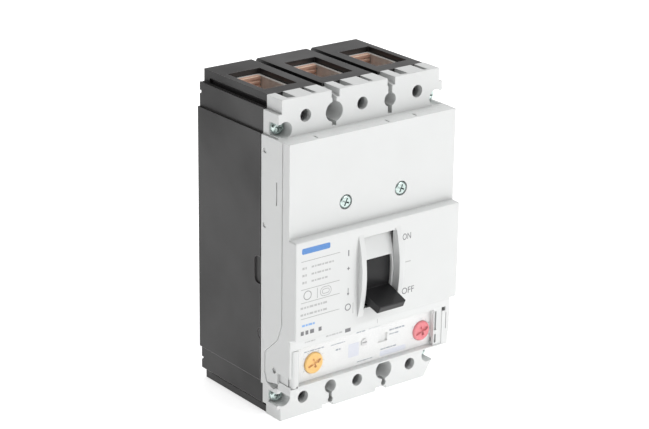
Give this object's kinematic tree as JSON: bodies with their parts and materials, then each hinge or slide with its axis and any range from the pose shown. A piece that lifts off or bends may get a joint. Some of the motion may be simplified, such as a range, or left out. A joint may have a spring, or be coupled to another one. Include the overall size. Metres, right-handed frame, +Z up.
{
  "type": "molded case circuit breaker",
  "caption": "Molded case circuit breaker with a toggle, box-clamp terminals, two setting dials behind a clear flap, and its working mechanism inside.",
  "frame": {"origin": "centre of the four mounting holes, on the rear mounting face", "axes": "+X to the right seen from the front, +Y to the rear, +Z up towards the line terminals"},
  "size_m": [0.09, 0.0818, 0.145],
  "materials": {
    "black_base": "fine-textured moulded thermoset",
    "grey_cover": "light grey moulded, fine matt texture",
    "trip_grey": "light grey moulded",
    "toggle_black": "black moulded, satin",
    "clear_flap": "clear polycarbonate",
    "zinc_screw": "blue-white zinc plated",
    "clamp_steel": "zinc plated steel",
    "clamp_screw_steel": "zinc plated steel",
    "copper": "bare copper, milled",
    "braid_copper": "woven copper",
    "mechanism_steel": "stamped steel",
    "spring_steel": "spring wire",
    "chute_steel": "nickel plated arc plates",
    "magnet_iron": "soft iron",
    "bimetal": "rolled bimetal",
    "shaft_plastic": "dark brown thermoset",
    "dial_orange": "orange moulded",
    "dial_red": "red moulded",
    "button_plastic": "light grey moulded"
  },
  "bodies": {
    "housing": {"base_housing": "black_base", "main_cover": "grey_cover", "front_cover": "grey_cover", "flap_catch": "grey_cover", "front_cover_screws": "zinc_screw", "main_cover_screws": "zinc_screw", "mechanism_frame": "mechanism_steel", "latch_cradle": "mechanism_steel", "magnet_yokes": "magnet_iron", "trip_unit_housing": "trip_grey", "line_conductor_1": "copper", "load_conductor_1": "copper", "arc_chute_1": "chute_steel", "bimetal_1": "bimetal", "line_conductor_2": "copper", "load_conductor_2": "copper", "arc_chute_2": "chute_steel", "bimetal_2": "bimetal", "line_conductor_3": "copper", "load_conductor_3": "copper", "arc_chute_3": "chute_steel", "bimetal_3": "bimetal", "clamp_cage_line_1": "clamp_steel", "clamp_cage_load_1": "clamp_steel", "clamp_cage_line_2": "clamp_steel", "clamp_cage_load_2": "clamp_steel", "clamp_cage_line_3": "clamp_steel", "clamp_cage_load_3": "clamp_steel", "trip_button_spring": "spring_steel"},
    "toggle": {"toggle_lever": "toggle_black", "slot_shield": "grey_cover", "handle_yoke": "mechanism_steel"},
    "contact_shaft": {"contact_shaft": "shaft_plastic", "link_pin": "mechanism_steel", "flexible_braids": "braid_copper", "contact_arm_1": "copper", "contact_arm_2": "copper", "contact_arm_3": "copper"},
    "upper_link": {"upper_link": "mechanism_steel", "main_springs": "spring_steel"},
    "lower_link": {"lower_link": "mechanism_steel"},
    "setting_flap": {"setting_flap": "clear_flap"},
    "overload_dial": {"overload_dial": "dial_orange"},
    "short_circuit_dial": {"short_circuit_dial": "dial_red"},
    "trip_button": {"trip_button": "button_plastic"},
    "trip_bar": {"trip_bar": "shaft_plastic", "armatures": "magnet_iron"},
    "pressure_pad_line_1": {"pressure_pad_line_1": "clamp_steel"},
    "clamp_screw_line_1": {"clamp_screw_line_1": "clamp_screw_steel"},
    "pressure_pad_line_2": {"pressure_pad_line_2": "clamp_steel"},
    "clamp_screw_line_2": {"clamp_screw_line_2": "clamp_screw_steel"},
    "pressure_pad_line_3": {"pressure_pad_line_3": "clamp_steel"},
    "clamp_screw_line_3": {"clamp_screw_line_3": "clamp_screw_steel"},
    "pressure_pad_load_1": {"pressure_pad_load_1": "clamp_steel"},
    "clamp_screw_load_1": {"clamp_screw_load_1": "clamp_screw_steel"},
    "pressure_pad_load_2": {"pressure_pad_load_2": "clamp_steel"},
    "clamp_screw_load_2": {"clamp_screw_load_2": "clamp_screw_steel"},
    "pressure_pad_load_3": {"pressure_pad_load_3": "clamp_steel"},
    "clamp_screw_load_3": {"clamp_screw_load_3": "clamp_screw_steel"}
  },
  "joints": [
    {"name": "toggle_swing", "type": "hinge", "parent": "housing", "child": "toggle", "pos_m": [0, -0.03, -0.0083], "axis": [-1, 0, 0], "range_deg": [0, 33], "deforming": ["main_springs"]},
    {"name": "contact_shaft_turn", "type": "hinge", "parent": "housing", "child": "contact_shaft", "pos_m": [0, -0.022, -0.012], "axis": [-1, 0, 0], "range_deg": [-0.5, 28.5], "deforming": ["flexible_braids"]},
    {"name": "upper_link_swing", "type": "hinge", "parent": "housing", "child": "upper_link", "pos_m": [0, -0.046, -0.007], "axis": [1, 0, 0], "range_deg": [-0.5, 17.44]},
    {"name": "lower_link_swing", "type": "hinge", "parent": "contact_shaft", "child": "lower_link", "pos_m": [0, -0.02354, -0.00192], "axis": [1, 0, 0], "range_deg": [-0.5, 6.98]},
    {"name": "flap_swing", "type": "hinge", "parent": "housing", "child": "setting_flap", "pos_m": [-0.0416, -0.06635, -0.045], "axis": [0, 0, -1], "range_deg": [0, 95]},
    {"name": "overload_dial_turn", "type": "hinge", "parent": "housing", "child": "overload_dial", "pos_m": [-0.03, -0.06, -0.0453], "axis": [0, -1, 0], "range_deg": [-120, 120]},
    {"name": "short_circuit_dial_turn", "type": "hinge", "parent": "housing", "child": "short_circuit_dial", "pos_m": [0.03, -0.06, -0.0453], "axis": [0, -1, 0], "range_deg": [-120, 120]},
    {"name": "trip_button_press", "type": "slide", "parent": "housing", "child": "trip_button", "axis": [0, 1, 0], "range_m": [0, 0.0009], "stiffness_N_per_m": 400, "springref_m": -0.0015, "deforming": ["trip_button_spring"]},
    {"name": "trip_bar_turn", "type": "hinge", "parent": "housing", "child": "trip_bar", "pos_m": [0, -0.051, -0.0477], "axis": [-1, 0, 0], "range_deg": [-0.5, 10.7]},
    {"name": "pad_slide_line_1", "type": "slide", "parent": "housing", "child": "pressure_pad_line_1", "axis": [0, 1, 0], "range_m": [0, 0.009]},
    {"name": "screw_turn_line_1", "type": "hinge", "parent": "pressure_pad_line_1", "child": "clamp_screw_line_1", "pos_m": [-0.03, -0.045, 0.064], "axis": [0, 1, 0], "range_deg": [-10, 3250]},
    {"name": "pad_slide_line_2", "type": "slide", "parent": "housing", "child": "pressure_pad_line_2", "axis": [0, 1, 0], "range_m": [0, 0.009]},
    {"name": "screw_turn_line_2", "type": "hinge", "parent": "pressure_pad_line_2", "child": "clamp_screw_line_2", "pos_m": [0, -0.045, 0.064], "axis": [0, 1, 0], "range_deg": [-10, 3250]},
    {"name": "pad_slide_line_3", "type": "slide", "parent": "housing", "child": "pressure_pad_line_3", "axis": [0, 1, 0], "range_m": [0, 0.009]},
    {"name": "screw_turn_line_3", "type": "hinge", "parent": "pressure_pad_line_3", "child": "clamp_screw_line_3", "pos_m": [0.03, -0.045, 0.064], "axis": [0, 1, 0], "range_deg": [-10, 3250]},
    {"name": "pad_slide_load_1", "type": "slide", "parent": "housing", "child": "pressure_pad_load_1", "axis": [0, 1, 0], "range_m": [0, 0.009]},
    {"name": "screw_turn_load_1", "type": "hinge", "parent": "pressure_pad_load_1", "child": "clamp_screw_load_1", "pos_m": [-0.03, -0.045, -0.064], "axis": [0, 1, 0], "range_deg": [-10, 3250]},
    {"name": "pad_slide_load_2", "type": "slide", "parent": "housing", "child": "pressure_pad_load_2", "axis": [0, 1, 0], "range_m": [0, 0.009]},
    {"name": "screw_turn_load_2", "type": "hinge", "parent": "pressure_pad_load_2", "child": "clamp_screw_load_2", "pos_m": [0, -0.045, -0.064], "axis": [0, 1, 0], "range_deg": [-10, 3250]},
    {"name": "pad_slide_load_3", "type": "slide", "parent": "housing", "child": "pressure_pad_load_3", "axis": [0, 1, 0], "range_m": [0, 0.009]},
    {"name": "screw_turn_load_3", "type": "hinge", "parent": "pressure_pad_load_3", "child": "clamp_screw_load_3", "pos_m": [0.03, -0.045, -0.064], "axis": [0, 1, 0], "range_deg": [-10, 3250]}
  ],
  "couplings": [
    {"joint": "contact_shaft_turn", "follows": "toggle_swing", "ratio": 0.84849},
    {"joint": "upper_link_swing", "follows": "toggle_swing", "ratio": 0.51342},
    {"joint": "lower_link_swing", "follows": "toggle_swing", "ratio": 0.19627},
    {"joint": "trip_bar_turn", "follows": "trip_button_press", "rad_per_m": 197.78},
    {"joint": "screw_turn_line_1", "follows": "pad_slide_line_1", "rad_per_m": 6283.2},
    {"joint": "screw_turn_line_2", "follows": "pad_slide_line_2", "rad_per_m": 6283.2},
    {"joint": "screw_turn_line_3", "follows": "pad_slide_line_3", "rad_per_m": 6283.2},
    {"joint": "screw_turn_load_1", "follows": "pad_slide_load_1", "rad_per_m": 6283.2},
    {"joint": "screw_turn_load_2", "follows": "pad_slide_load_2", "rad_per_m": 6283.2},
    {"joint": "screw_turn_load_3", "follows": "pad_slide_load_3", "rad_per_m": 6283.2}
  ]
}
